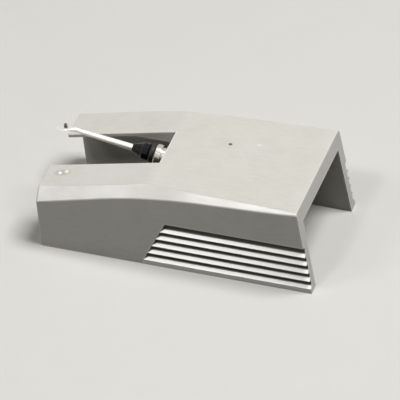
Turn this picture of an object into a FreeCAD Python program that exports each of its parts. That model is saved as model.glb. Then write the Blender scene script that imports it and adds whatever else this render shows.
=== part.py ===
import FreeCAD, Part
import os
import re
import Sketcher

doc = FreeCAD.newDocument("turntable_stylus")
sheet = doc.addObject("Spreadsheet::Sheet", "dims")

# Driving sizes in millimetres and degrees. Setbacks run from the legs' front bottom corner to the rear.
sizes = {
    # grip: an upturned channel with a forked front
    "leg_length": 24.1,
    "foot_width": 13.54,
    "leg_draft": 2.0,
    "leg_wall": 1.2,
    "rear_height": 7.81,
    "rear_lean": 1.5,
    "ridge_setback": 9.32,
    "ridge_height": 7.62,
    "ridge_round": 4.5,
    "prong_tip_height": 5.35,
    "prong_overhang": 0.52,
    "prong_plate": 0.35,
    "ceiling_height": 6.4,
    "slot_width": 4.7,
    "bevel_width": 0.92,
    "bevel_drop": 0.87,
    "bevel_rear": 0.2,
    "bevel_blend": 1.6,
    "edge_round": 0.15,
    "plate_share": 0.45,
    # finger ribs on the legs
    "rib_count": 5,
    "rib_band": 4.38,
    "rib_brow": 0.11,
    "rib_foot": 0.4,
    "rib_gap": 0.43,
    "rib_crest": 0.04,
    "rib_depth": 0.32,
    "rib_setback": 8.99,
    "rib_lean": 2.07,
    # pips on one prong
    "pip_radius": 0.24,
    "pip_height": 0.15,
    "pip_setback": 1.34,
    "pip_inset": 1.42,
    "pip_step": 0.54,
    "pip_shift": 0.19,
    # stem and the boss that holds it
    "arm_tilt": 8.94,
    "mouth_lead": 1.13,
    "mouth_drop": 1.03,
    "flange_diameter": 1.96,
    "flange_length": 0.55,
    "sleeve_diameter": 1.6,
    "plug_diameter": 1.2,
    "plug_length": 5.6,
    "stem_bore": 0.6,
    "stem_chamfer": 0.1,
    "shoulder_gap": 0.3,
    "boss_setback": 0.3,
    "boss_length": 3.4,
    "boss_wall": 0.55,
    "socket_room": 0.6,
    # suspension
    "damper_diameter": 1.76,
    "damper_length": 0.5,
    "damper_bore": 0.24,
    "damper_rim": 0.2,
    "magnet_diameter": 1.6,
    "magnet_length": 0.7,
    "spigot_diameter": 0.4,
    "holder_length": 0.85,
    "nose_diameter": 0.72,
    "wire_diameter": 0.1,
    "clamp_length": 1.2,
    # arm and stone
    "arm_reach": 7.7,
    "arm_seat": 0.45,
    "root_diameter": 0.58,
    "neck_diameter": 0.42,
    "tube_wall": 0.08,
    "bend_lead": 0.75,
    "paddle_tilt": 3.16,
    "paddle_lead": 0.15,
    "paddle_length": 1.18,
    "paddle_width": 0.92,
    "paddle_thickness": 0.2,
    "paddle_root_width": 0.82,
    "paddle_root_thickness": 0.26,
    "paddle_end_width": 0.68,
    "paddle_end_thickness": 0.16,
    "stone_setback": 0.75,
    "shank_diameter": 0.3,
    "shank_height": 0.22,
    "shank_foot": 0.14,
    "stone_barrel": 0.1,
    "stone_height": 0.26,
    "stone_point": 0.03,
    # how far cutting shapes run past the part, and added ones into it
    "overrun": 1.0,
    "overlap": 0.2,
}

# Places and sizes that follow from the driving ones.
derived = {
    "foot_half": "foot_width / 2",
    "draft_slope": "tan(leg_draft * 1deg)",
    "arm_overhang": "arm_reach * cos(arm_tilt * 1deg) + paddle_length * cos(paddle_tilt * 1deg)"
                    " - (ridge_setback - mouth_lead)",
    "front_x": "(arm_overhang - leg_length) / 2",
    "rear_x": "front_x + leg_length",
    "tip_x": "front_x - prong_overhang",
    "ridge_x": "front_x + ridge_setback",
    "rear_top_x": "rear_x - rear_lean",
    "prong_slope": "(ridge_height - prong_tip_height) / (ridge_x - tip_x)",
    "rear_slope": "(rear_height - ridge_height) / (rear_top_x - ridge_x)",
    "bevel_taper": "(1 - bevel_rear / bevel_width) / (rear_top_x - ridge_x)",
    "plate_end_x": "ridge_x - (ridge_height - prong_plate - ceiling_height) / prong_slope",
    "rib_top": "rib_band - rib_brow",
    "rib_pitch": "(rib_top - rib_foot) / rib_count",
    "rib_angle": "atan(rib_lean / rib_band) / 1deg",
    "rib_stretch": "1 / cos(rib_angle * 1deg)",
    "mouth_x": "ridge_x - mouth_lead",
    "mouth_z": "ridge_height - mouth_drop",
    "axis_drop": "tan(arm_tilt * 1deg)",
    "boss_x": "ridge_x + boss_setback",
    "boss_end_x": "boss_x + boss_length",
    "boss_half": "sleeve_diameter / 2 + boss_wall",
    "boss_low": "mouth_z - axis_drop * (boss_end_x - mouth_x) - boss_half",
    "shoulder": "(boss_end_x - mouth_x) / cos(arm_tilt * 1deg) + shoulder_gap",
    "stem_length": "shoulder + plug_length",
    "relief_rise": "(plug_diameter / 2 + socket_room) / cos(arm_tilt * 1deg)",
    "relief_z": "mouth_z - axis_drop * (boss_end_x - mouth_x) + relief_rise",
    "magnet_rear": "-damper_length",
    "magnet_front": "magnet_rear - magnet_length",
    "holder_front": "magnet_front - holder_length",
    "arm_root": "holder_front + arm_seat",
    "neck_at": "bend_lead - arm_reach",
    "bend_angle": "arm_tilt + paddle_tilt",
    "stone_run": "paddle_length - stone_setback",
    "bend_x": "mouth_x - arm_reach * cos(arm_tilt * 1deg)",
    "bend_z": "mouth_z + arm_reach * sin(arm_tilt * 1deg)",
    "stone_x": "bend_x - stone_run * cos(paddle_tilt * 1deg)",
    "stone_z": "bend_z - stone_run * sin(paddle_tilt * 1deg)",
}

row = 0
for name, value in sizes.items():
    row += 1
    sheet.set(f"A{row}", name)
    sheet.set(f"B{row}", str(value))
    sheet.setAlias(f"B{row}", name)
for name, formula in derived.items():
    row += 1
    sheet.set(f"A{row}", name)
    sheet.set(f"B{row}", "=" + formula)
    sheet.setAlias(f"B{row}", name)
doc.recompute()


def bound(text):
    # every size named in the text becomes a reference to its cell
    def cell(match):
        word = match.group()
        return f"dims.{word}" if word in sizes or word in derived else word

    return re.sub(r"[a-z_]+", cell, text)


def number(text):
    return float(sheet.evalExpression(bound(text)))


def bind(thing, place, text):
    thing.setExpression(place, bound(text))


def new_body(name):
    return doc.addObject("PartDesign::Body", name)


def origin_plane(body, role):
    return next(part for part in body.Origin.OriginFeatures if part.Role == role)


def sketch_on(body, name, role, offset=("0", "0", "0"), turn=None):
    # a sketch on one of the body's own planes, moved and turned about its first axis
    sketch = body.newObject("Sketcher::SketchObject", name)
    sketch.AttachmentSupport = (origin_plane(body, role), "")
    sketch.MapMode = "FlatFace"
    if turn:
        start = FreeCAD.Rotation(FreeCAD.Vector(1, 0, 0), number(turn))
        sketch.AttachmentOffset = FreeCAD.Placement(FreeCAD.Vector(), start)
        bind(sketch, "AttachmentOffset.Rotation.Angle", turn)
    for axis, text in zip("xyz", offset):
        bind(sketch, f"AttachmentOffset.Base.{axis}", text)
    return sketch


def pin_point(sketch, edge, place, across, up):
    for kind, text in (("DistanceX", across), ("DistanceY", up)):
        index = sketch.addConstraint(Sketcher.Constraint(kind, -1, 1, edge, place, number(text)))
        bind(sketch, f"Constraints[{index}]", text)


def polygon(sketch, points):
    # a closed outline whose corners are each bound to the sheet
    first = sketch.GeometryCount
    corners = [FreeCAD.Vector(number(across), number(up), 0) for across, up in points]
    for start, end in zip(corners, corners[1:] + corners[:1]):
        sketch.addGeometry(Part.LineSegment(start, end))
    count = len(points)
    for index in range(count):
        follower = first + (index + 1) % count
        sketch.addConstraint(Sketcher.Constraint("Coincident", first + index, 2, follower, 1))
    for index, (across, up) in enumerate(points):
        pin_point(sketch, first + index, 1, across, up)
    return sketch


def circle(sketch, radius):
    index = sketch.addGeometry(Part.Circle(FreeCAD.Vector(), FreeCAD.Vector(0, 0, 1), number(radius)))
    sketch.addConstraint(Sketcher.Constraint("Coincident", index, 3, -1, 1))
    size = sketch.addConstraint(Sketcher.Constraint("Radius", index, number(radius)))
    bind(sketch, f"Constraints[{size}]", radius)
    return sketch


def ellipse(sketch, half_width, half_height):
    major = FreeCAD.Vector(number(half_width), 0, 0)
    minor = FreeCAD.Vector(0, number(half_height), 0)
    index = sketch.addGeometry(Part.Ellipse(major, minor, FreeCAD.Vector()))
    sketch.exposeInternalGeometry(index)
    sketch.addConstraint(Sketcher.Constraint("Coincident", index, 3, -1, 1))
    long_axis = index + 1
    short_axis = index + 2
    sketch.addConstraint(Sketcher.Constraint("Horizontal", long_axis))
    for axis, text in ((long_axis, half_width), (short_axis, half_height)):
        size = sketch.addConstraint(Sketcher.Constraint("Distance", axis, 2 * number(text)))
        bind(sketch, f"Constraints[{size}]", f"2 * ({text})")
    return sketch


def extrude(body, kind, name, sketch, length, symmetric=False, along=None):
    # a Pad or a Pocket, on both sides of its sketch or along a direction of its own
    feature = body.newObject("PartDesign::" + kind, name)
    feature.Profile = sketch
    if symmetric:
        feature.SideType = "Symmetric"
    if along:
        feature.UseCustomVector = True
        feature.AlongSketchNormal = False
        feature.Direction = along
    bind(feature, "Length", length)
    return feature


def revolve(body, name, sketch, axis="H_Axis"):
    feature = body.newObject("PartDesign::Revolution", name)
    feature.Profile = sketch
    feature.ReferenceAxis = (sketch, [axis])
    feature.Angle = 360
    return feature


def loft(body, kind, name, sections):
    feature = body.newObject("PartDesign::" + kind, name)
    feature.Profile = sections[0]
    feature.Sections = sections[1:]
    return feature


def mirror(body, name, original):
    feature = body.newObject("PartDesign::Mirrored", name)
    feature.Originals = [original]
    feature.MirrorPlane = (origin_plane(body, "XZ_Plane"), [""])
    body.Tip = feature
    return feature


def fillet(body, name, base, wanted, radius):
    doc.recompute()
    edges = [f"Edge{i}" for i, edge in enumerate(base.Shape.Edges, 1) if wanted(edge)]
    feature = body.newObject("PartDesign::Fillet", name)
    feature.Base = (base, edges)
    bind(feature, "Radius", radius)
    return feature


def place(thing, across, up, turn, sideways="0"):
    # stands a piece at a point of the middle plane, turned about Y
    start = FreeCAD.Rotation(FreeCAD.Vector(0, 1, 0), number(turn))
    thing.Placement = FreeCAD.Placement(FreeCAD.Vector(), start)
    bind(thing, "Placement.Base.x", across)
    bind(thing, "Placement.Base.y", sideways)
    bind(thing, "Placement.Base.z", up)
    bind(thing, "Placement.Rotation.Angle", turn)


def on_arm_axis(thing):
    # X of the piece runs back along the arm, from the stem's mouth
    place(thing, "mouth_x", "mouth_z", "arm_tilt")


def wall_y(height):
    # the outer face of a leg, which leans in as it rises
    return f"(foot_half - draft_slope * ({height}))"


# Grip housing: one moulding. A drafted block, trimmed to the side outline, with a softened ridge.
housing = new_body("grip_housing")
front_view = sketch_on(housing, "front_outline", "YZ_Plane")
polygon(front_view, [
    ("-foot_half", "0"),
    ("foot_half", "0"),
    (wall_y("rear_height + overrun"), "rear_height + overrun"),
    ("-" + wall_y("rear_height + overrun"), "rear_height + overrun"),
])
extrude(housing, "Pad", "blank", front_view, "2 * leg_length", symmetric=True)
side_view = sketch_on(housing, "side_outline", "XZ_Plane")
polygon(side_view, [
    ("-leg_length - overrun", "-overrun"),
    ("leg_length + overrun", "-overrun"),
    ("leg_length + overrun", "rear_height + 2 * overrun"),
    ("-leg_length - overrun", "rear_height + 2 * overrun"),
])
polygon(side_view, [
    ("front_x", "0"),
    ("rear_x", "0"),
    ("rear_top_x", "rear_height"),
    ("ridge_x", "ridge_height"),
    ("tip_x", "prong_tip_height"),
])
trimmed = extrude(housing, "Pocket", "side_trim", side_view, "2 * foot_width", symmetric=True)
doc.recompute()


def is_ridge(edge):
    middle = edge.CenterOfMass
    return abs(middle.x - number("ridge_x")) < 0.01 and abs(middle.z - number("ridge_height")) < 0.01


fillet(housing, "ridge_softened", trimmed, is_ridge, "ridge_round")


# Bevel along each long top edge: full width on the prongs, fading to almost nothing at the rear.
def bevel_section(name, across, line, share):
    section = sketch_on(housing, name, "YZ_Plane", ("0", "0", across))
    return polygon(section, [
        (f"{wall_y(line)} - bevel_width * ({share} + overrun)", f"{line} + overrun * bevel_drop"),
        (f"{wall_y(line)} + overrun * bevel_width", f"{line} - bevel_drop * ({share} + overrun)"),
        (f"{wall_y(line)} + 2 * overrun", f"{line} + 2 * overrun"),
    ])


def prong_line(across):
    return f"(ridge_height - prong_slope * (ridge_x - ({across})))"


def rear_line(across):
    return f"(ridge_height + rear_slope * (({across}) - ridge_x))"


bevel_stations = []
for station, across in (
    ("bevel_tip", "tip_x - overrun"),
    ("bevel_prong", "(tip_x + ridge_x - bevel_blend) / 2"),
    ("bevel_before_ridge", "ridge_x - bevel_blend"),
):
    bevel_stations.append(bevel_section(station, across, prong_line(across), "1"))
for station, across in (
    ("bevel_after_ridge", "ridge_x + bevel_blend"),
    ("bevel_roof", "(ridge_x + bevel_blend + rear_top_x) / 2"),
    ("bevel_rear_end", "rear_top_x + overrun"),
):
    fade = f"(1 - bevel_taper * (({across}) - ridge_x))"
    bevel_stations.append(bevel_section(station, across, rear_line(across), fade))
bevel = loft(housing, "SubtractiveLoft", "bevel", bevel_stations)
mirror(housing, "bevel_far_side", bevel)


# Channel: level ceiling behind, a thin plate under the falling prongs, walls that lean like the outer ones.
def channel_section(name, across, ceiling):
    section = sketch_on(housing, name, "YZ_Plane", ("0", "0", across))
    foot_y = f"({wall_y('-overrun')} - leg_wall)"
    ceiling_y = f"({wall_y(ceiling)} - leg_wall)"
    return polygon(section, [
        ("-" + foot_y, "-overrun"),
        (foot_y, "-overrun"),
        (ceiling_y, ceiling),
        ("-" + ceiling_y, ceiling),
    ])


channel_front = "tip_x - overrun"
channel = loft(housing, "SubtractiveLoft", "channel", [
    channel_section("channel_front", channel_front, f"{prong_line(channel_front)} - prong_plate"),
    channel_section("channel_plate_end", "plate_end_x", "ceiling_height"),
    channel_section("channel_rear", "rear_x + overrun", "ceiling_height"),
])
channel.Ruled = True

# Slot between the prongs, up to the ridge.
slot_sketch = sketch_on(housing, "slot_outline", "XY_Plane")
polygon(slot_sketch, [
    ("tip_x - overrun", "-slot_width / 2"),
    ("ridge_x", "-slot_width / 2"),
    ("ridge_x", "slot_width / 2"),
    ("tip_x - overrun", "slot_width / 2"),
])
slot = extrude(housing, "Pocket", "slot", slot_sketch, "4 * rear_height", symmetric=True)


def is_slot_lip(edge):
    middle = edge.CenterOfMass
    along_slot = abs(abs(middle.y) - number("slot_width / 2")) < 0.001
    return along_slot and middle.z > number(prong_line(str(middle.x))) - number("prong_plate / 2")


def is_front_edge(edge):
    # the upright and top edges of the two front faces
    slope = number("prong_overhang / prong_tip_height")
    ends = [corner.Point for corner in edge.Vertexes]
    on_front = all(abs(end.x - number("front_x") + slope * end.z) < 0.01 for end in ends)
    upright = abs(ends[0].z - ends[-1].z) > number("bevel_drop / 2")
    top = min(end.z for end in ends) > number("prong_tip_height - edge_round / 2")
    return on_front and (upright or top)


fillet(
    housing,
    "edge_rounding",
    slot,
    lambda edge: is_slot_lip(edge) or is_front_edge(edge),
    "min(edge_round; plate_share * prong_plate)",
)

# Finger ribs: a leaning recess in each leg, then saw-toothed ribs that run to the rear edge.
rear_run = "leg_length - rib_setback + overrun"
rib_plane = ("0", "0", "front_x + rib_setback")
backwards = FreeCAD.Vector(1, 0, 0)
recess_sketch = sketch_on(housing, "rib_recess_outline", "YZ_Plane", rib_plane, "rib_angle")
for hand in ("-", ""):
    polygon(recess_sketch, [
        (f"{hand}({wall_y('-overrun')} - rib_depth)", "-overrun * rib_stretch"),
        (f"{hand}(foot_half + overrun)", "-overrun * rib_stretch"),
        (f"{hand}(foot_half + overrun)", "rib_band * rib_stretch"),
        (f"{hand}({wall_y('rib_band')} - rib_depth)", "rib_band * rib_stretch"),
    ])
extrude(housing, "Pocket", "rib_recess", recess_sketch, rear_run, along=backwards)


def rib_corner(hand, height, proud):
    return (f"{hand}({wall_y(height)} + {proud})", f"({height}) * rib_stretch")


rib_sketch = sketch_on(housing, "rib_outline", "YZ_Plane", rib_plane, "rib_angle")
rib_count = int(number("rib_count"))
for hand in ("-", ""):
    teeth = []
    for rib in range(rib_count):
        top = f"rib_top - {rib} * rib_pitch - rib_gap"
        bottom = f"rib_top - {rib + 1} * rib_pitch"
        teeth.append(rib_corner(hand, top, "(-rib_depth)"))
        teeth.append(rib_corner(hand, f"{bottom} + rib_crest", "0"))
        if rib < rib_count - 1:
            teeth.append(rib_corner(hand, bottom, "0"))
            teeth.append(rib_corner(hand, bottom, "(-rib_depth)"))
        else:
            teeth.append(rib_corner(hand, "0", "0"))
    polygon(rib_sketch, [
        rib_corner(hand, "rib_top - rib_gap", "(-rib_depth - overlap)"),
        *teeth,
        rib_corner(hand, "0", "(-rib_depth - overlap)"),
    ])
extrude(housing, "Pad", "ribs", rib_sketch, rear_run, along=backwards)

# Rear end: every wall and rib is cut off along one leaning line.
rear_cut_sketch = sketch_on(housing, "rear_cut_outline", "XZ_Plane")
polygon(rear_cut_sketch, [
    ("rear_x + rear_lean * overrun / rear_height", "-overrun"),
    ("rear_x + rib_lean + 3 * overrun", "-overrun"),
    ("rear_x + rib_lean + 3 * overrun", "rear_height + overrun"),
    ("rear_x - rear_lean * (rear_height + overrun) / rear_height", "rear_height + overrun"),
])
extrude(housing, "Pocket", "rear_cut", rear_cut_sketch, "2 * foot_width", symmetric=True)

# Boss under the roof with the leaning hole for the stem.
boss_sketch = sketch_on(housing, "boss_outline", "YZ_Plane", ("0", "0", "boss_x"))
polygon(boss_sketch, [
    ("-boss_half", "ceiling_height + overlap"),
    ("-boss_half", "boss_low + boss_wall"),
    ("-boss_half + boss_wall", "boss_low"),
    ("boss_half - boss_wall", "boss_low"),
    ("boss_half", "boss_low + boss_wall"),
    ("boss_half", "ceiling_height + overlap"),
])
extrude(housing, "Pad", "boss", boss_sketch, "boss_length")
stem_hole = housing.newObject("PartDesign::SubtractiveCylinder", "stem_hole")
bind(stem_hole, "Radius", "sleeve_diameter / 2")
bind(stem_hole, "Height", "shoulder - flange_length")
place(
    stem_hole,
    "mouth_x + flange_length * cos(arm_tilt * 1deg)",
    "mouth_z - flange_length * sin(arm_tilt * 1deg)",
    "arm_tilt + 90",
)

# Relief in the ceiling, so that a socket can slide over the stem.
relief_sketch = sketch_on(housing, "relief_outline", "XZ_Plane")
polygon(relief_sketch, [
    ("boss_end_x", "ceiling_height - overlap"),
    ("boss_end_x + (relief_z - ceiling_height + overlap) / axis_drop", "ceiling_height - overlap"),
    ("boss_end_x", "relief_z"),
])
relief_width = "plug_diameter + 2 * socket_room"
extrude(housing, "Pocket", "relief", relief_sketch, relief_width, symmetric=True)

# Two pips on the near prong.
for index, name in enumerate(("pip_front", "pip_rear")):
    across = f"(tip_x + pip_setback + {index} * pip_step)"
    pip = housing.newObject("PartDesign::AdditiveSphere", name)
    bind(pip, "Radius", "pip_radius")
    place(
        pip,
        across,
        f"{prong_line(across)} + pip_height - pip_radius",
        "0",
        f"-(slot_width / 2 + pip_inset - {index} * pip_shift)",
    )

# Stem: a turned tube with a flange in front, a sleeve in the boss and a plug behind.
stem = new_body("stem_tube")
stem_sketch = sketch_on(stem, "stem_outline", "XZ_Plane")
polygon(stem_sketch, [
    ("0", "stem_bore / 2"),
    ("0", "flange_diameter / 2 - stem_chamfer"),
    ("stem_chamfer", "flange_diameter / 2"),
    ("flange_length", "flange_diameter / 2"),
    ("flange_length", "sleeve_diameter / 2"),
    ("shoulder", "sleeve_diameter / 2"),
    ("shoulder", "plug_diameter / 2"),
    ("stem_length - stem_chamfer", "plug_diameter / 2"),
    ("stem_length", "plug_diameter / 2 - stem_chamfer"),
    ("stem_length", "stem_bore / 2"),
])
revolve(stem, "stem_turned", stem_sketch)
on_arm_axis(stem)

# Clamp plug in the stem's rear end.
clamp = new_body("wire_clamp")
clamp_sketch = sketch_on(clamp, "clamp_outline", "XZ_Plane")
polygon(clamp_sketch, [
    ("stem_length - clamp_length", "wire_diameter / 2"),
    ("stem_length - clamp_length", "stem_bore / 2"),
    ("stem_length", "stem_bore / 2"),
    ("stem_length", "wire_diameter / 2"),
])
revolve(clamp, "clamp_turned", clamp_sketch)
on_arm_axis(clamp)

# Tension wire from the holder's spigot to the clamp.
wire = doc.addObject("Part::Cylinder", "tension_wire")
bind(wire, "Radius", "wire_diameter / 2")
bind(wire, "Height", "damper_length + stem_length")
place(
    wire,
    "mouth_x - damper_length * cos(arm_tilt * 1deg)",
    "mouth_z + damper_length * sin(arm_tilt * 1deg)",
    "arm_tilt + 90",
)

# Damper: a rubber ring with a round rim.
damper = new_body("damper_ring")
damper_sketch = sketch_on(damper, "damper_outline", "XZ_Plane")
polygon(damper_sketch, [
    ("magnet_rear", "damper_bore / 2"),
    ("magnet_rear", "damper_diameter / 2"),
    ("0", "damper_diameter / 2"),
    ("0", "damper_bore / 2"),
])
damper_ring = revolve(damper, "damper_turned", damper_sketch)


def is_rim(edge):
    return edge.Closed and abs(edge.Curve.Radius - number("damper_diameter / 2")) < 0.001


fillet(damper, "damper_rounding", damper_ring, is_rim, "damper_rim")
on_arm_axis(damper)

# Magnet ring on the holder's spigot.
magnet = new_body("magnet_ring")
magnet_sketch = sketch_on(magnet, "magnet_outline", "XZ_Plane")
polygon(magnet_sketch, [
    ("magnet_front", "spigot_diameter / 2"),
    ("magnet_front", "magnet_diameter / 2 - stem_chamfer"),
    ("magnet_front + stem_chamfer", "magnet_diameter / 2"),
    ("magnet_rear - stem_chamfer", "magnet_diameter / 2"),
    ("magnet_rear", "magnet_diameter / 2 - stem_chamfer"),
    ("magnet_rear", "spigot_diameter / 2"),
])
revolve(magnet, "magnet_turned", magnet_sketch)
on_arm_axis(magnet)

# Holder: a conical nose with a seat for the arm and a spigot through the magnet.
holder = new_body("arm_holder")
holder_sketch = sketch_on(holder, "holder_outline", "XZ_Plane")
polygon(holder_sketch, [
    ("holder_front", "root_diameter / 2"),
    ("holder_front", "nose_diameter / 2"),
    ("magnet_front", "magnet_diameter / 2 - stem_chamfer"),
    ("magnet_front", "spigot_diameter / 2"),
    ("magnet_rear", "spigot_diameter / 2"),
    ("magnet_rear", "0"),
    ("arm_root", "0"),
    ("arm_root", "root_diameter / 2"),
])
revolve(holder, "holder_turned", holder_sketch)
on_arm_axis(holder)

# Cantilever: a tapered tube, bent and flattened at its front end.
arm = new_body("cantilever")
arm_sketch = sketch_on(arm, "arm_outline", "XZ_Plane")
polygon(arm_sketch, [
    ("arm_root", "root_diameter / 2 - tube_wall"),
    ("arm_root", "root_diameter / 2"),
    ("holder_front", "root_diameter / 2"),
    ("neck_at", "neck_diameter / 2"),
    ("neck_at", "0"),
    ("neck_at + bend_lead", "0"),
    ("neck_at + bend_lead", "neck_diameter / 2 - tube_wall"),
])
revolve(arm, "arm_tube", arm_sketch)


def paddle_section(name, run, half_width, half_height):
    offset = (
        "0",
        f"-({run}) * sin(bend_angle * 1deg)",
        f"-arm_reach - ({run}) * cos(bend_angle * 1deg)",
    )
    section = sketch_on(arm, name, "YZ_Plane", offset, "-bend_angle")
    return ellipse(section, half_width, half_height)


neck = circle(sketch_on(arm, "neck_outline", "YZ_Plane", ("0", "0", "neck_at")), "neck_diameter / 2")
loft(arm, "AdditiveLoft", "paddle", [
    neck,
    paddle_section("paddle_start", "paddle_lead", "paddle_root_width / 2", "paddle_root_thickness / 2"),
    paddle_section("paddle_middle", "stone_run", "paddle_width / 2", "paddle_thickness / 2"),
    paddle_section("paddle_end", "paddle_length", "paddle_end_width / 2", "paddle_end_thickness / 2"),
])
shank_hole = arm.newObject("PartDesign::SubtractiveCylinder", "shank_hole")
bind(shank_hole, "Radius", "shank_diameter / 2")
bind(shank_hole, "Height", "2 * overrun")
place(
    shank_hole,
    "-arm_reach - stone_run * cos(bend_angle * 1deg) + overrun * sin(bend_angle * 1deg)",
    "-stone_run * sin(bend_angle * 1deg) - overrun * cos(bend_angle * 1deg)",
    "-bend_angle",
)
on_arm_axis(arm)

# Shank through the flattened end, and the stone on top of it.
shank = new_body("stylus_shank")
shank_sketch = sketch_on(shank, "shank_outline", "XZ_Plane")
polygon(shank_sketch, [
    ("0", "-shank_foot"),
    ("shank_diameter / 2", "-shank_foot"),
    ("shank_diameter / 2", "shank_height"),
    ("0", "shank_height"),
])
revolve(shank, "shank_turned", shank_sketch, "V_Axis")
place(shank, "stone_x", "stone_z", "-paddle_tilt")

stone = new_body("diamond_tip")
stone_sketch = sketch_on(stone, "stone_outline", "XZ_Plane")
polygon(stone_sketch, [
    ("0", "shank_height"),
    ("shank_diameter / 2", "shank_height"),
    ("shank_diameter / 2", "shank_height + stone_barrel"),
    ("stone_point / 2", "shank_height + stone_height"),
    ("0", "shank_height + stone_height"),
])
revolve(stone, "stone_ground", stone_sketch, "V_Axis")
place(stone, "stone_x", "stone_z", "-paddle_tilt")

doc.recompute()
failed = [thing.Name for thing in doc.Objects if {"Invalid", "Error"} & set(thing.State)]
if failed:
    raise RuntimeError("not built: " + ", ".join(failed))

nodes = [housing, stem, clamp, wire, damper, magnet, holder, arm, shank, stone]
for node in nodes:
    if node.Shape.isNull() or not node.Shape.isValid() or len(node.Shape.Solids) != 1:
        raise RuntimeError("bad solid: " + node.Label)

os.makedirs("parts", exist_ok=True)
for node in nodes:
    node.Shape.exportStep(f"parts/{node.Label}.step")
    box = node.Shape.optimalBoundingBox()
    print(f"{node.Label:14s} {node.Shape.Volume:9.4f} mm3  x {box.XMin:.2f} {box.XMax:.2f}"
          f"  y {box.YMin:.2f} {box.YMax:.2f}  z {box.ZMin:.2f} {box.ZMax:.2f}")
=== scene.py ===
import bmesh
import bpy
import math
from mathutils import Matrix, Vector


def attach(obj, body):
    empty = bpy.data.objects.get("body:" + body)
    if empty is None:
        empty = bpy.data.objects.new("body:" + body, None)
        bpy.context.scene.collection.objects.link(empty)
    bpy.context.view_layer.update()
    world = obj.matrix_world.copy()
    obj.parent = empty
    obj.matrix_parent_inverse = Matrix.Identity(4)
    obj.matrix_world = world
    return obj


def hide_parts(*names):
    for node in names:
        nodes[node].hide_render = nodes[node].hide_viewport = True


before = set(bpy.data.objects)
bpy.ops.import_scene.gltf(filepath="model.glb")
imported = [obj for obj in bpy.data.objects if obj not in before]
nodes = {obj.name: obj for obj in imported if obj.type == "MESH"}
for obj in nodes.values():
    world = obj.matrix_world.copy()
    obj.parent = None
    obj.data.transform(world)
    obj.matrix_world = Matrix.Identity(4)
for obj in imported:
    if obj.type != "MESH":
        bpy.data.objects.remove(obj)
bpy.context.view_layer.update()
scene = bpy.context.scene
mm = 0.001  # the drawing sizes below are in millimetres, the scene is in metres


# sRGB hex to the linear colour that a shader takes
def linearColor(hexText):
    channels = [int(hexText[i:i + 2], 16) / 255 for i in (1, 3, 5)]
    return [c / 12.92 if c <= 0.04045 else ((c + 0.055) / 1.055) ** 2.4 for c in channels] + [1.0]


def fadedColor(hexText, share):
    return [channel * share for channel in linearColor(hexText)[:3]] + [1.0]


def addNode(tree, kind, values=None, links=None, **settings):
    node = tree.nodes.new(kind)
    for name, value in settings.items():
        setattr(node, name, value)
    for socket, value in (values or {}).items():
        node.inputs[socket].default_value = value
    for socket, source in (links or {}).items():
        tree.links.new(source, node.inputs[socket])
    return node


def startMaterial(name, values):
    material = bpy.data.materials.new(name)
    material.use_nodes = True
    tree = material.node_tree
    shader = tree.nodes["Principled BSDF"]
    for socket, value in values.items():
        shader.inputs[socket].default_value = value
    return material, tree, shader, addNode(tree, "ShaderNodeTexCoord").outputs["Object"]


def dress(nodeName, material):
    nodes[nodeName].data.materials.clear()
    nodes[nodeName].data.materials.append(material)


# Moulded ABS, light warm grey: satin skin with a fine grain drawn along the part. Edges and finger
# ribs are painted pale, partly as wear and partly as painted highlight; grooves and the gaps between
# the ribs get painted shade. The roof has one dark speck and one pale scuff, and a patch round the pips
# is a little darker.
gripPlastic = {
    "name": "mouldedAbs",
    "color": "#DFDCD4", "shade": "#D7D4CB", "wearAndSheen": "#F5F3ED", "paintedShade": "#625E56",
    "shader": {"IOR": 1.53, "Specular IOR Level": 0.6},
    "roughness": (0.2, 0.28), "ribRoughness": 0.21, "paintedShadeRoughness": 0.85,
    "mottle": 2.5 * mm, "streaks": (0.12, 0.4),
    # real grain is finer
    "grainLength": 1.2 * mm, "grainWidth": 0.3 * mm, "grainHeight": 0.004 * mm, "grainStrength": 0.25,
    # how open a spot is where the pale edges and the painted shade in grooves start, and where they are
    # full
    "edgeReach": 0.2 * mm, "edgeOpen": (0.95, 0.55),
    "grooveReach": 0.5 * mm, "grooveOpen": (0.5, 0.2), "openSamples": 8,
    # the ribs' painted shade and pale slopes go by the depth behind the leg's leaning outer face, inside
    # the ribs' own band
    "legFoot": 6.77 * mm, "legLean": 0.0349,
    "shadeMaskFrom": 0.21 * mm, "shadeMaskFull": 0.29 * mm, "shadeMaskEnd": 0.5 * mm,
    "ribFoot": 0.05 * mm, "ribTop": 4.39 * mm,
    "ribFront": -2.75 * mm, "ribLean": 0.4726, "rearEnd": 12.33 * mm, "rearLean": 0.1921,
    # a mark is full inside its core and gone at its rim, as shares of its size
    "markCore": 0.6, "markRim": 1.1,
    "marks": [
        {"at": Vector((2.59, 1.77, 7.69)) * mm, "stretch": (1.0, 1.0, 1.0), "size": 0.19 * mm,
         "color": "#454B40", "strength": 1.0},
        {"at": Vector((5.0, 2.3, 7.73)) * mm, "stretch": (0.7, 1.3, 1.0), "size": 0.17 * mm,
         "color": "#F1EFE9", "strength": 0.9},
        # a darker patch round the pips
        {"at": Vector((-10.66, -3.675, 5.63)) * mm, "stretch": (0.6, 1.0, 1.0), "size": 0.52 * mm,
         "color": "#AEAA9F", "strength": 0.6},
    ],
}
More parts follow.
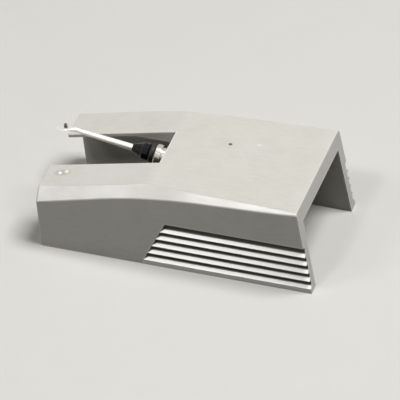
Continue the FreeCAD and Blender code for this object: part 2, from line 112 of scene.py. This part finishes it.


# The finger ribs: painted shade deep between them, and the slopes and crests painted pale, partly as
# finger wear and partly as painted highlight
def findRibShadeAndSheen(tree, coords, look):
    place = addNode(tree, "ShaderNodeSeparateXYZ", {}, {0: coords}).outputs
    side = addNode(tree, "ShaderNodeMath", {}, {0: place["Y"]}, operation="ABSOLUTE").outputs[0]
    leans = ((look["legLean"], side), (look["rearLean"], place["X"]), (-look["ribLean"], place["X"]))
    outward, rearward, forward = (
        addNode(tree, "ShaderNodeMath", {1: lean}, {0: place["Z"], 2: along},
                operation="MULTIPLY_ADD").outputs[0] for lean, along in leans)
    depth = addNode(tree, "ShaderNodeMath", {0: look["legFoot"]}, {1: outward},
                    operation="SUBTRACT").outputs[0]
    deep = addNode(tree, "ShaderNodeMapRange", {
        "From Min": look["shadeMaskFrom"], "From Max": look["shadeMaskFull"]}, {"Value": depth})
    band = addNode(tree, "ShaderNodeMath", {1: look["shadeMaskEnd"]}, {0: depth}, operation="LESS_THAN")
    limits = [(place["Z"], "GREATER_THAN", "ribFoot"), (place["Z"], "LESS_THAN", "ribTop"),
              (forward, "GREATER_THAN", "ribFront"), (rearward, "LESS_THAN", "rearEnd")]
    for value, test, bound in limits:
        within = addNode(tree, "ShaderNodeMath", {1: look[bound]}, {0: value}, operation=test)
        band = addNode(tree, "ShaderNodeMath", {}, {0: band.outputs[0], 1: within.outputs[0]},
                       operation="MULTIPLY")
    shadeMask = addNode(tree, "ShaderNodeMath", {}, {0: deep.outputs[0], 1: band.outputs[0]},
                   operation="MULTIPLY")
    wearAndSheen = addNode(tree, "ShaderNodeMath", {}, {0: band.outputs[0], 1: shadeMask.outputs[0]},
                     operation="SUBTRACT")
    return shadeMask.outputs[0], wearAndSheen.outputs[0]


def addMark(tree, coords, layer, mark, look):
    offset = addNode(tree, "ShaderNodeVectorMath", {1: mark["at"]}, {0: coords}, operation="SUBTRACT")
    shaped = addNode(tree, "ShaderNodeVectorMath", {1: mark["stretch"]}, {0: offset.outputs[0]},
                     operation="MULTIPLY")
    away = addNode(tree, "ShaderNodeVectorMath", {}, {0: shaped.outputs[0]}, operation="LENGTH")
    spot = addNode(tree, "ShaderNodeMapRange", {
        "From Min": mark["size"] * look["markCore"], "From Max": mark["size"] * look["markRim"],
        "To Min": mark["strength"], "To Max": 0.0}, {"Value": away.outputs["Value"]})
    marked = addNode(tree, "ShaderNodeMix", {"B": linearColor(mark["color"])}, {
        "Factor": spot.outputs[0], "A": layer}, data_type="RGBA")
    return marked.outputs["Result"]


def makeGripPlastic(look):
    material, tree, shader, coords = startMaterial(look["name"], look["shader"])
    mottle = addNode(tree, "ShaderNodeTexNoise", {"Scale": 1 / look["mottle"], "Detail": 4.0}, {
        "Vector": coords})
    stretch = addNode(tree, "ShaderNodeMapping", {"Scale": (
        1 / look["grainLength"], 1 / look["grainWidth"], 1 / look["grainWidth"])}, {"Vector": coords})
    grain = addNode(tree, "ShaderNodeTexNoise", {"Scale": 1.0, "Detail": 3.0}, {
        "Vector": stretch.outputs[0]})
    tint = addNode(tree, "ShaderNodeMath", {}, {0: mottle.outputs["Fac"], 1: grain.outputs["Fac"]},
                   operation="MULTIPLY")
    streaks = addNode(tree, "ShaderNodeMapRange", {
        "From Min": look["streaks"][0], "From Max": look["streaks"][1]}, {"Value": tint.outputs[0]})
    skin = addNode(tree, "ShaderNodeMix", {
        "A": linearColor(look["color"]), "B": linearColor(look["shade"])}, {
        "Factor": streaks.outputs[0]}, data_type="RGBA")
    layer = skin.outputs["Result"]
    for mark in look["marks"]:
        layer = addMark(tree, coords, layer, mark, look)
    # convex edges by looking into the wall, grooves by looking out of it
    inward = addNode(tree, "ShaderNodeAmbientOcclusion", {"Distance": look["edgeReach"]},
                     inside=True, only_local=True, samples=look["openSamples"])
    edge = addNode(tree, "ShaderNodeMapRange", {
        "From Min": look["edgeOpen"][0], "From Max": look["edgeOpen"][1]}, {
        "Value": inward.outputs["AO"]})
    outward = addNode(tree, "ShaderNodeAmbientOcclusion", {"Distance": look["grooveReach"]},
                      only_local=True, samples=look["openSamples"])
    groove = addNode(tree, "ShaderNodeMapRange", {
        "From Min": look["grooveOpen"][0], "From Max": look["grooveOpen"][1]}, {
        "Value": outward.outputs["AO"]})
    ribShadeMask, ribWearAndSheen = findRibShadeAndSheen(tree, coords, look)
    # pale convex edges and rib slopes: partly wear, partly painted highlight
    wornAndLit = addNode(tree, "ShaderNodeMath", {}, {0: edge.outputs[0], 1: ribWearAndSheen}, operation="MAXIMUM")
    wearAndSheen = addNode(tree, "ShaderNodeMix", {"B": linearColor(look["wearAndSheen"])}, {
        "Factor": wornAndLit.outputs[0], "A": layer}, data_type="RGBA")
    # painted shade: darker and dull in grooves and between the ribs, where shade falls
    shadeMask = addNode(tree, "ShaderNodeMath", {}, {0: groove.outputs[0], 1: ribShadeMask},
                   operation="MAXIMUM").outputs[0]
    withPaintedShade = addNode(tree, "ShaderNodeMix", {"B": linearColor(look["paintedShade"])}, {
        "Factor": shadeMask, "A": wearAndSheen.outputs["Result"]}, data_type="RGBA")
    tree.links.new(withPaintedShade.outputs["Result"], shader.inputs["Base Color"])
    gloss = addNode(tree, "ShaderNodeMapRange", {
        "To Min": look["roughness"][0], "To Max": look["roughness"][1]}, {"Value": grain.outputs["Fac"]})
    # fingers have polished the ribs, and the painted shade between them is made dull
    polished = addNode(tree, "ShaderNodeMapRange", {"To Max": look["ribRoughness"]}, {
        "Value": ribWearAndSheen, "To Min": gloss.outputs[0]})
    dulled = addNode(tree, "ShaderNodeMapRange", {"To Max": look["paintedShadeRoughness"]}, {
        "Value": shadeMask, "To Min": polished.outputs[0]})
    tree.links.new(dulled.outputs[0], shader.inputs["Roughness"])
    bump = addNode(tree, "ShaderNodeBump", {
        "Strength": look["grainStrength"], "Distance": look["grainHeight"]}, {
        "Height": grain.outputs["Fac"]})
    tree.links.new(bump.outputs[0], shader.inputs["Normal"])
    return material


gripMaterial = makeGripPlastic(gripPlastic)

# The moulding itself, with the small radius that its mould leaves on the long outer edges
gripShell = {
    "merge": 0.0002 * mm, "flat": math.radians(0.6), "sharp": math.radians(30),
    "round": 0.09 * mm, "steps": 3, "profile": 0.5,
    # faces within this angle are one surface; a corner's own face counts a little more, in square metres
    "kin": math.cos(math.radians(26)), "ownWeight": 1e-9,
    "ribTop": 4.4 * mm, "sideFrom": 5.4 * mm, "frontFillet": -11.9 * mm, "roofFrom": 7.7 * mm,
    "footLength": 5 * mm, "footHeight": 0.02 * mm,
}


def isMouldEdge(edge, look):
    if not (edge.is_manifold and edge.is_convex and edge.calc_face_angle() > look["sharp"]):
        return False
    points = [vert.co for vert in edge.verts]
    lowest, highest = sorted(point.z for point in points)
    foot = highest < look["footHeight"] and edge.calc_length() > look["footLength"]
    shoulder = (lowest > look["ribTop"] and min(abs(point.y) for point in points) > look["sideFrom"]
                and min(point.x for point in points) > look["frontFillet"])
    return foot or shoulder or lowest > look["roofFrom"]


def makeGripShell(look):
    work = bmesh.new()
    work.from_mesh(nodes["grip_housing"].data)
    bmesh.ops.remove_doubles(work, verts=work.verts, dist=look["merge"])
    bmesh.ops.dissolve_limit(work, angle_limit=look["flat"], verts=work.verts, edges=work.edges)
    edges = [edge for edge in work.edges if isMouldEdge(edge, look)]
    bmesh.ops.bevel(work, geom=edges, offset=look["round"], offset_type="OFFSET",
                    segments=look["steps"], profile=look["profile"], affect="EDGES", clamp_overlap=False)
    bmesh.ops.dissolve_degenerate(work, dist=look["merge"], edges=work.edges)
    bmesh.ops.triangulate(work, faces=work.faces)
    # the bevel gives its faces in no fixed order, so they are put in one by their places
    for elements, placeOf in ((work.verts, lambda vert: tuple(vert.co)),
                              (work.faces, lambda face: tuple(face.calc_center_median()))):
        ranks = {element: rank for rank, element in enumerate(sorted(elements, key=placeOf))}
        elements.sort(key=ranks.get)
        elements.index_update()
    # each corner leans with its own surface only, by area, so flat faces stay flat beside the radii
    normals = []
    for face in work.faces:
        face.smooth = True
        own = face.normal * look["ownWeight"]
        for vert in face.verts:
            kin = [other for other in vert.link_faces if face.normal.dot(other.normal) > look["kin"]]
            normals.append(sum((other.normal * other.calc_area() for other in kin), own).normalized())
    mesh = bpy.data.meshes.new("gripShell")
    work.to_mesh(mesh)
    work.free()
    mesh.normals_split_custom_set(normals)
    mesh.materials.append(gripMaterial)
    shell = bpy.data.objects.new("gripShell", mesh)
    scene.collection.objects.link(shell)
    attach(shell, "grip")
    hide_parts("grip_housing")
    dress("grip_housing", gripMaterial)


makeGripShell(gripShell)
print("grip moulded")


# Turns a node tree into one plain mesh; the values go in by the sockets' identifiers
def growPiece(name, tree, values):
    piece = bpy.data.objects.new(name, bpy.data.meshes.new(name))
    scene.collection.objects.link(piece)
    modifier = piece.modifiers.new(name, "NODES")
    modifier.node_group = tree
    for socket in tree.interface.items_tree:
        if socket.name in values:
            modifier[socket.identifier] = values[socket.name]
    depsgraph = bpy.context.evaluated_depsgraph_get()
    grown = bpy.data.meshes.new_from_object(piece.evaluated_get(depsgraph))
    piece.modifiers.remove(modifier)
    while grown.materials[0] is None:  # the instances bring an empty slot along
        grown.materials.pop(index=0)
    piece.data = grown
    return piece


def startTree(name, inputs):
    tree = bpy.data.node_groups.new(name, "GeometryNodeTree")
    for socketName, kind in inputs.items():
        tree.interface.new_socket(socketName, in_out="INPUT", socket_type="NodeSocket" + kind)
    tree.interface.new_socket("Geometry", in_out="OUTPUT", socket_type="NodeSocketGeometry")
    return tree, addNode(tree, "NodeGroupInput").outputs


def endTree(tree, geometry, material):
    smooth = addNode(tree, "GeometryNodeSetShadeSmooth", {}, {0: geometry})
    real = addNode(tree, "GeometryNodeRealizeInstances", {}, {0: smooth.outputs[0]})
    coated = addNode(tree, "GeometryNodeSetMaterial", {"Material": material}, {
        "Geometry": real.outputs[0]})
    addNode(tree, "NodeGroupOutput", {}, {0: coated.outputs[0]})


# Two round pips on the near prong, to tell the side by touch; they are painted pale, partly as finger
# wear and partly as painted highlight
pipPlastic = {**gripPlastic, "name": "wearAndSheenAbs", "color": "#FAF8F3", "shade": "#F2F0EA", "marks": []}
gripPips = {
    "First": Vector((-10.933, -3.77, 5.569)) * mm, "Step": Vector((0.54, 0.19, 0.125)) * mm,
    "Radius": 0.245 * mm, "Count": 2, "Segments": 32, "Rings": 20,
}


def makeGripPips(look):
    tree, given = startTree("pipRow", {
        "First": "Vector", "Step": "Vector", "Radius": "Float",
        "Count": "Int", "Segments": "Int", "Rings": "Int"})
    row = addNode(tree, "GeometryNodeMeshLine", {}, {
        "Count": given["Count"], "Start Location": given["First"], "Offset": given["Step"]})
    dome = addNode(tree, "GeometryNodeMeshUVSphere", {}, {
        "Segments": given["Segments"], "Rings": given["Rings"], "Radius": given["Radius"]})
    placed = addNode(tree, "GeometryNodeInstanceOnPoints", {}, {
        "Points": row.outputs["Mesh"], "Instance": dome.outputs["Mesh"]})
    endTree(tree, placed.outputs[0], makeGripPlastic(pipPlastic))
    pips = growPiece("gripPips", tree, look)
    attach(pips, "grip")


makeGripPips(gripPips)
print("pips set")

# Finishes of the small pieces. Marks give the lay of the tool along and round the arm's axis; real
# tool marks are a few microns apart, so they are drawn coarser to show.
armTilt = math.radians(8.94)  # the stem and arm rise towards the needle by this much
markStrength = 0.3
smallFinishes = {
    # drawn aluminium tube, satin: cream-white with faint lines along it
    "cantilever": {
        "name": "drawnAluminium", "color": "#F4F1E9", "fade": 0.86, "roughness": (0.26, 0.38),
        "marks": (0.9 * mm, 0.05 * mm, 0.05 * mm), "depth": 0.003 * mm, "shader": {"Metallic": 1.0}},
    # nickel-plated brass, turned: grey silver with fine rings
    "stem_tube": {
        "name": "turnedNickel", "color": "#CFCCC5", "fade": 0.8, "roughness": (0.16, 0.3),
        "marks": (0.05 * mm, 0.8 * mm, 0.8 * mm), "depth": 0.003 * mm, "shader": {"Metallic": 1.0}},
    # turned brass plug, a little dull: warm yellow with fine rings
    "wire_clamp": {
        "name": "turnedBrass", "color": "#C9A65A", "fade": 0.8, "roughness": (0.25, 0.4),
        "marks": (0.05 * mm, 0.5 * mm, 0.5 * mm), "depth": 0.002 * mm, "shader": {"Metallic": 1.0}},
    # drawn spring steel wire: plain grey with lines along it
    "tension_wire": {
        "name": "drawnSteel", "color": "#9A9A9C", "fade": 0.8, "roughness": (0.25, 0.4),
        "marks": (0.6 * mm, 0.03 * mm, 0.03 * mm), "depth": 0.001 * mm, "shader": {"Metallic": 1.0}},
    # sintered magnet with a black lacquer: glossy, slightly pitted
    "magnet_ring": {
        "name": "lacqueredMagnet", "color": "#0A0A0B", "fade": 0.6, "roughness": (0.1, 0.2),
        "marks": (0.14 * mm, 0.14 * mm, 0.14 * mm), "depth": 0.004 * mm,
        "shader": {"IOR": 1.5, "Specular IOR Level": 0.25}},
    # moulded black nylon: smooth and glossy
    "arm_holder": {
        "name": "blackNylon", "color": "#090909", "fade": 0.6, "roughness": (0.1, 0.2),
        "marks": (0.12 * mm, 0.12 * mm, 0.12 * mm), "depth": 0.003 * mm,
        "shader": {"IOR": 1.53, "Specular IOR Level": 0.25}},
    # heat-tinted titanium pin: dark brown-grey, lines along it
    "stylus_shank": {
        "name": "darkTitanium", "color": "#3A3632", "fade": 0.7, "roughness": (0.3, 0.45),
        "marks": (0.3 * mm, 0.3 * mm, 0.04 * mm), "depth": 0.002 * mm, "shader": {"Metallic": 1.0}},
    # ground diamond, seen nearly black at this size, with small bright glints
    "diamond_tip": {
        "name": "groundDiamond", "color": "#14110F", "fade": 0.6, "roughness": (0.04, 0.12),
        "marks": (0.06 * mm, 0.06 * mm, 0.06 * mm), "depth": 0.001 * mm, "shader": {"IOR": 2.42}},
}
# butyl rubber: near black, soft dull sheen, dusty
damperRubber = {
    "name": "butylRubber", "color": "#151414", "fade": 1.9, "roughness": (0.4, 0.6),
    "marks": (0.16 * mm, 0.16 * mm, 0.16 * mm), "depth": 0.008 * mm,
    "shader": {"IOR": 1.52, "Specular IOR Level": 0.35}}


def makeSmallFinish(look):
    material, tree, shader, coords = startMaterial(look["name"], look["shader"])
    level = addNode(tree, "ShaderNodeVectorRotate", {"Angle": -armTilt}, {"Vector": coords},
                    rotation_type="Y_AXIS")
    lay = addNode(tree, "ShaderNodeMapping", {"Scale": [1 / size for size in look["marks"]]}, {
        "Vector": level.outputs[0]})
    marks = addNode(tree, "ShaderNodeTexNoise", {"Scale": 1.0, "Detail": 4.0}, {
        "Vector": lay.outputs[0]})
    tone = addNode(tree, "ShaderNodeMix", {
        "A": linearColor(look["color"]), "B": fadedColor(look["color"], look["fade"])}, {
        "Factor": marks.outputs["Fac"]}, data_type="RGBA")
    tree.links.new(tone.outputs["Result"], shader.inputs["Base Color"])
    gloss = addNode(tree, "ShaderNodeMapRange", {
        "To Min": look["roughness"][0], "To Max": look["roughness"][1]}, {"Value": marks.outputs["Fac"]})
    tree.links.new(gloss.outputs[0], shader.inputs["Roughness"])
    bump = addNode(tree, "ShaderNodeBump", {"Strength": markStrength, "Distance": look["depth"]}, {
        "Height": marks.outputs["Fac"]})
    tree.links.new(bump.outputs[0], shader.inputs["Normal"])
    return material


for nodeName, finish in smallFinishes.items():
    dress(nodeName, makeSmallFinish(finish))
print("small pieces dressed")

# Rubber ring between the magnet and the stem: a fat washer with a round rim, pressed a little uneven
damperRing = {
    "Outer radius": 0.88 * mm, "Bore radius": 0.12 * mm, "Thickness": 0.5 * mm, "Rim": 0.2 * mm,
    "Path points": 96, "Rim points": 8, "Uneven": 0.012 * mm, "Seed": 3.0, "lumpSize": 0.7 * mm,
    "Centre": Vector((-3.81, 0, 6.629)) * mm, "Tilt": math.pi / 2 + armTilt,
}


def makeDamperRing(look):
    tree, given = startTree("rubberRing", {
        "Outer radius": "Float", "Bore radius": "Float", "Thickness": "Float", "Rim": "Float",
        "Path points": "Int", "Rim points": "Int", "Uneven": "Float", "Seed": "Float",
        "Centre": "Vector", "Tilt": "Float"})
    radii = {0: given["Outer radius"], 1: given["Bore radius"]}
    total = addNode(tree, "ShaderNodeMath", {}, radii, operation="ADD")
    middle = addNode(tree, "ShaderNodeMath", {1: 0.5}, {0: total.outputs[0]}, operation="MULTIPLY")
    wall = addNode(tree, "ShaderNodeMath", {}, radii, operation="SUBTRACT")
    path = addNode(tree, "GeometryNodeCurvePrimitiveCircle", {}, {
        "Resolution": given["Path points"], "Radius": middle.outputs[0]})
    outline = addNode(tree, "GeometryNodeCurvePrimitiveQuadrilateral", {}, {
        "Width": wall.outputs[0], "Height": given["Thickness"]})
    rounded = addNode(tree, "GeometryNodeFilletCurve", {}, {
        "Count": given["Rim points"], "Curve": outline.outputs[0], "Radius": given["Rim"]}, mode="POLY")
    swept = addNode(tree, "GeometryNodeCurveToMesh", {}, {
        "Curve": path.outputs[0], "Profile Curve": rounded.outputs[0]})
    # noise about its middle, along the ring's own normals
    noise = addNode(tree, "ShaderNodeTexNoise", {"Scale": 1 / look["lumpSize"], "Detail": 2.0}, {
        "W": given["Seed"]}, noise_dimensions="4D")
    level = addNode(tree, "ShaderNodeMath", {1: 0.5}, {0: noise.outputs["Fac"]}, operation="SUBTRACT")
    amount = addNode(tree, "ShaderNodeMath", {}, {0: level.outputs[0], 1: given["Uneven"]},
                     operation="MULTIPLY")
    outward = addNode(tree, "GeometryNodeInputNormal")
    shift = addNode(tree, "ShaderNodeVectorMath", {}, {
        0: outward.outputs[0], "Scale": amount.outputs[0]}, operation="SCALE")
    pressed = addNode(tree, "GeometryNodeSetPosition", {}, {
        "Geometry": swept.outputs[0], "Offset": shift.outputs[0]})
    turn = addNode(tree, "ShaderNodeCombineXYZ", {}, {"Y": given["Tilt"]})
    placed = addNode(tree, "GeometryNodeTransform", {}, {
        "Geometry": pressed.outputs[0], "Translation": given["Centre"], "Rotation": turn.outputs[0]})
    rubber = makeSmallFinish(damperRubber)
    endTree(tree, placed.outputs[0], rubber)
    ring = growPiece("damperRubber", tree, look)
    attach(ring, "damper")
    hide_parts("damper_ring")
    dress("damper_ring", rubber)


makeDamperRing(damperRing)
print("damper pressed")

# Floor and light, in metres and watts; each lamp stands off towards its own direction from the part
studio = {
    "floorColor": "#E6E4DF", "floorBounce": "#3A3835", "floorSize": 1.2, "floorRoughness": 0.85,
    "fibre": 4 * mm, "fibreFade": 0.97, "aimHeight": 5 * mm,
    "lamps": {
        "topSoftbox": {
            "toward": (0.3, 0.06, 0.95), "distance": 0.35, "size": 0.16, "power": 1.0},
        "ribSoftbox": {  # lights the ribs' slopes
            "toward": (-0.243, -0.543, 0.803), "distance": 0.30, "size": 0.035, "power": 0.113},
        "bevelSoftbox": {  # lights the front of the bevel
            "toward": (-0.54, -0.45, 0.71), "distance": 0.30, "size": 0.06, "power": 0.088},
    },
    "dim": 0.04, "pale": 0.85, "skyColor": "#FFFDFA",
}


# 1 for what the eye meets, straight, mirrored or through glass; 0 for stray light
def seenByEye(tree):
    path = addNode(tree, "ShaderNodeLightPath")
    mirrored = addNode(tree, "ShaderNodeMath", {}, {
        0: path.outputs["Is Glossy Ray"], 1: path.outputs["Is Transmission Ray"]}, operation="MAXIMUM")
    return addNode(tree, "ShaderNodeMath", {}, {
        0: path.outputs["Is Camera Ray"], 1: mirrored.outputs[0]}, operation="MAXIMUM").outputs[0]


# Pale card, matt, with a faint fibre mottle
def makeFloor(look):
    half = look["floorSize"] / 2
    corners = [(-half, -half, 0), (half, -half, 0), (half, half, 0), (-half, half, 0)]
    mesh = bpy.data.meshes.new("floor")
    mesh.from_pydata(corners, [], [(0, 1, 2, 3)])
    floor = bpy.data.objects.new("floor", mesh)
    scene.collection.objects.link(floor)
    material, tree, shader, coords = startMaterial("paleCard", {"Roughness": look["floorRoughness"]})
    fibre = addNode(tree, "ShaderNodeTexNoise", {"Scale": 1 / look["fibre"], "Detail": 3.0}, {
        "Vector": coords})
    card = addNode(tree, "ShaderNodeMix", {
        "A": linearColor(look["floorColor"]), "B": fadedColor(look["floorColor"], look["fibreFade"])}, {
        "Factor": fibre.outputs["Fac"]}, data_type="RGBA")
    shown = addNode(tree, "ShaderNodeMix", {"A": linearColor(look["floorBounce"])}, {
        "Factor": seenByEye(tree), "B": card.outputs["Result"]}, data_type="RGBA")
    tree.links.new(shown.outputs["Result"], shader.inputs["Base Color"])
    mesh.materials.append(material)


def makeLamp(name, look, aimHeight):
    data = bpy.data.lights.new(name, "AREA")
    data.size = look["size"]
    data.energy = look["power"]
    lamp = bpy.data.objects.new(name, data)
    away = Vector(look["toward"]).normalized()
    lamp.location = Vector((0, 0, aimHeight)) + away * look["distance"]
    lamp.rotation_mode = "QUATERNION"
    lamp.rotation_quaternion = (-away).to_track_quat("-Z", "Y")
    scene.collection.objects.link(lamp)


def makeSky(look):
    world = bpy.data.worlds.new("studio")
    world.use_nodes = True
    sky = world.node_tree
    background = sky.nodes["Background"].inputs
    level = addNode(sky, "ShaderNodeMapRange", {"To Min": look["dim"], "To Max": look["pale"]}, {
        "Value": seenByEye(sky)})
    sky.links.new(level.outputs[0], background["Strength"])
    background["Color"].default_value = linearColor(look["skyColor"])
    scene.world = world


makeFloor(studio)
for lampName, lampLook in studio["lamps"].items():
    makeLamp(lampName, lampLook, studio["aimHeight"])
makeSky(studio)
print("stage set")

# Camera: bearing, height and distance of the photograph's view, in degrees and metres
cameraLook = {
    "azimuth": 17.44, "elevation": 35.86, "roll": -0.405, "distance": 0.425,
    "lens": 447.6, "sensor": 36, "clipStart": 10 * mm,
    "aim": Vector((0.371, 0.0, 3.927)) * mm, "aimRight": 0.0248 * mm, "aimUp": -1.0785 * mm,
}


def makeCamera(look):
    turn, lift, roll = (math.radians(look[name]) for name in ("azimuth", "elevation", "roll"))
    level = Vector((math.cos(turn), math.sin(turn), 0))
    back = Vector((math.sin(turn) * math.cos(lift), -math.cos(turn) * math.cos(lift), math.sin(lift)))
    right = level * math.cos(roll) + back.cross(level) * math.sin(roll)
    up = back.cross(right)
    data = bpy.data.cameras.new("view")
    data.sensor_width = look["sensor"]
    data.lens = look["lens"]
    data.clip_start = look["clipStart"]
    camera = bpy.data.objects.new("view", data)
    aim = look["aim"] + right * look["aimRight"] + up * look["aimUp"]
    place = Matrix.Translation(aim + back * look["distance"])
    camera.matrix_world = place @ Matrix((right, up, back)).transposed().to_4x4()
    scene.collection.objects.link(camera)
    scene.camera = camera


makeCamera(cameraLook)
scene.view_settings.view_transform = "Standard"
print("camera set")
